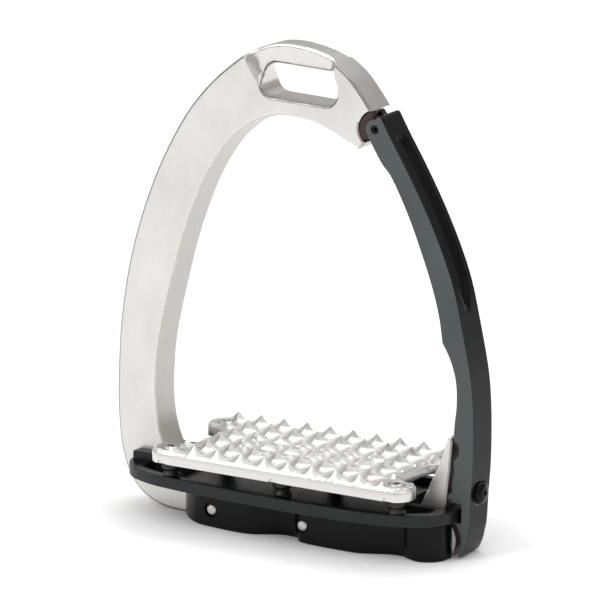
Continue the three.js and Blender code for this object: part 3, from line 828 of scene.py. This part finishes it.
def makePlate(size):
    outline = plateOutline(size)
    bm = slab([outline], size["low"], size["edge"], 0.25, 2, "Z")
    top = size["edge"] * mm

    def cap():
        part = [f for f in bm.faces if f.normal.z > 0.99 and f.calc_center_median().z > top - 1e-6]
        return part + list({e for f in part for e in f.edges}) + list({v for f in part for v in f.verts})

    bm.normal_update()
    for k, pitch in ((0, size["pitch"][0]), (1, size["pitch"][1])):
        reach = (53, 26)[k]
        cell = pitch / size["steps"]
        count = int(reach / cell)
        for n in range(-count, count + 1):
            co, no = Vector((0, 0, 0)), Vector((0, 0, 0))
            co[k], no[k] = n * cell * mm, 1
            bmesh.ops.bisect_plane(bm, geom=cap(), dist=1e-6, plane_co=co, plane_no=no)
            bm.normal_update()
    away = nearness([(outline, True)])
    for v in {v for g in cap() if isinstance(g, bmesh.types.BMFace) for v in g.verts}:
        x, y, z = v.co / mm
        v.co.z = plateHeight(x, y, max(away(x, y) - 0.25, 0), size) * mm
    for f in bm.faces:
        # cuts are the faces that look up, the sides of the thorns and walls stay bright
        f.normal_update()
        f.material_index = 1 if f.calc_center_median().z > top + 1e-6 and f.normal.z > 0.9 else 0
    plate = finishPiece("tread_plate", bm, [plateWall, ballCut], "iron",
                        ["grip_plate"], 34)
    lx, ly, r = size["lobe"]
    for sx in (-1, 1):
        for sy in (-1, 1):
            at = (sx * lx, sy * ly, 0)
            cut(plate, loose("headCutter", bore(3, 25.6, 60, 36, "Z", at)))
            cut(plate, loose("shankCutter", bore(1.62, 0, 30, 24, "Z", at)))
    for x in (-lx, 0, lx):
        for sy in (-1, 1):
            ends = sorted((sy * (size["half"] - 0.9), sy * 32))
            cut(plate, loose("archCutter", bore(1.7, *ends, 24, "Y", (x, 0, size["low"]))))
    plate.data.shade_smooth()
    plate.data.set_sharp_from_angle(angle=radians(34))


makePlate(plateSize)
print("grip plate made")

cushionSize = {
    "radius": 3.4,
    "low": 15.24,
    "high": 22.56,
    "waist": 2.6,
    "screw": (1.6, 2.8, 25.64, 27.6),
}


def makeCushions(size):
    lx, ly, r = plateSize["lobe"]
    a, low, high = size["radius"], size["low"], size["high"]
    for word, sy in (("front", -1), ("rear", 1)):
        for k, x in enumerate((-lx, 0, lx)):
            # a squeezed bead above the tray's rim, and a neck under the plate
            waist = size["waist"]
            at = (x, sy * ly, 0)
            profile = [(0, low), (a - 0.3, low), (a, low + 0.3), (a, 17.4), (waist, 18.4), (waist, 18.9),
                       (a - 0.25, 19.6), (a, 20.3), (a - 0.2, 21.1), (2.9, 21.9), (2.9, high - 0.1),
                       (2.8, high), (0, high)]
            piece = finishPiece(f"bumper_{word}_{k + 1}", spun(profile, 36, "Z", at), [rubber], "iron",
                                [f"cushion_{word}_{k + 1}"])
            if x:
                cut(piece, loose("holeCutter", bore(1.62, 0, 60, 24, "Z", at)))
                piece.data.shade_smooth()
                piece.data.set_sharp_from_angle(angle=radians(38))
        for hand, sx in (("left", -1), ("right", 1)):
            shank, head, seat, top = size["screw"]
            at = (sx * lx, sy * ly, 0)
            profile = [(0, 15.3), (shank, 15.3), (shank, seat), (head, seat), (head, top - 0.5),
                       (head - 0.15, top - 0.2), (head - 0.5, top), (0, top)]
            piece = finishPiece(f"tread_screw_{word}_{hand}", spun(profile, 36, "Z", at), [steel], "iron",
                                [f"plate_screw_{word}_{hand}"])
            keyed(piece, 1.25, top - 1.6, top + 5, "Z", at)


makeCushions(cushionSize)
print("cushions and screws made")

# the plunger and its spring are right as they are, and only get their finish
for node in ("latch_plunger", "latch_spring"):
    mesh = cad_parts[node].data
    for k in range(len(mesh.materials)):
        mesh.materials[k] = steel

studio = {
    "cameraAt": (764.4, -1304.2, 470.4),
    "cameraAlong": (-0.4916, 0.8346, -0.2487),
    "lens": 270,
    "skyLight": 1,
    "horizon": "b4b3b2",
    "middle": "cfcfce",
    "zenith": "ffffff",
    "floorReach": 6,
}


def makeStudio(size):
    floor = bmesh.new()
    bmesh.ops.create_grid(floor, x_segments=1, y_segments=1, size=size["floorReach"])
    bmesh.ops.translate(floor, verts=floor.verts, vec=(0, 0, cadLow.z))
    ground = loose("studio_floor", floor)
    paper, tree, surface = newFinish("pale_paper")   # matt backdrop paper with a faint tooth
    tooth = grain(tree, (1, 1, 1), 3)
    tree.links.new(ramp(tree, tooth, linear("fafafa"), linear("fcfcfc")), surface.inputs["Base Color"])
    surface.inputs["Roughness"].default_value = 0.9
    ground.data.materials.append(paper)

    world = bpy.data.worlds.new("soft_sky")
    bpy.context.scene.world = world
    world.use_nodes = True
    tree = world.node_tree
    tree.nodes.clear()
    # paler overhead, dimmer towards the horizon, as a white tent in a dark room is
    way = addNode(tree, "ShaderNodeTexCoord")
    parts = addNode(tree, "ShaderNodeSeparateXYZ", links={"Vector": way.outputs["Generated"]})
    shade = addNode(tree, "ShaderNodeValToRGB", links={"Fac": parts.outputs["Z"]})
    stops = shade.color_ramp.elements
    stops[0].position, stops[0].color = 0.0, linear(size["horizon"])
    stops[1].position, stops[1].color = 0.8, linear(size["zenith"])
    middle = stops.new(0.4)
    middle.color = linear(size["middle"])
    sky = addNode(tree, "ShaderNodeBackground", {"Strength": size["skyLight"]},
                  {"Color": shade.outputs["Color"]})
    addNode(tree, "ShaderNodeOutputWorld", links={"Surface": sky.outputs[0]})

    centre = (cadLow + cadHigh) / 2
    for name, place, wide, high, watts in (
        ("key", (-0.9, -1.3, 1.3), 1.2, 1.2, 14),
        ("fill", (1.6, -0.5, 0.7), 0.5, 1.4, 1.5),
        ("top", (0.1, 0.7, 1.7), 1.4, 0.9, 10),
    ):
        data = bpy.data.lights.new(name, "AREA")
        data.shape, data.size, data.size_y, data.energy = "RECTANGLE", wide, high, watts
        lamp = bpy.data.objects.new(name, data)
        bpy.context.scene.collection.objects.link(lamp)
        lamp.location = place
        lamp.rotation_mode = "QUATERNION"
        lamp.rotation_quaternion = (centre - Vector(place)).to_track_quat("-Z", "Y")

    camera = bpy.data.cameras.new("camera")
    camera.lens, camera.sensor_width = size["lens"], 36
    camera.clip_start, camera.clip_end = 0.05, 30
    eye = bpy.data.objects.new("camera", camera)
    bpy.context.scene.collection.objects.link(eye)
    eye.location = Vector(size["cameraAt"]) * mm
    eye.rotation_mode = "QUATERNION"
    eye.rotation_quaternion = Vector(size["cameraAlong"]).to_track_quat("-Z", "Y")
    bpy.context.scene.camera = eye
    bpy.context.scene.view_settings.view_transform = "Standard"


makeStudio(studio)
print("studio made")
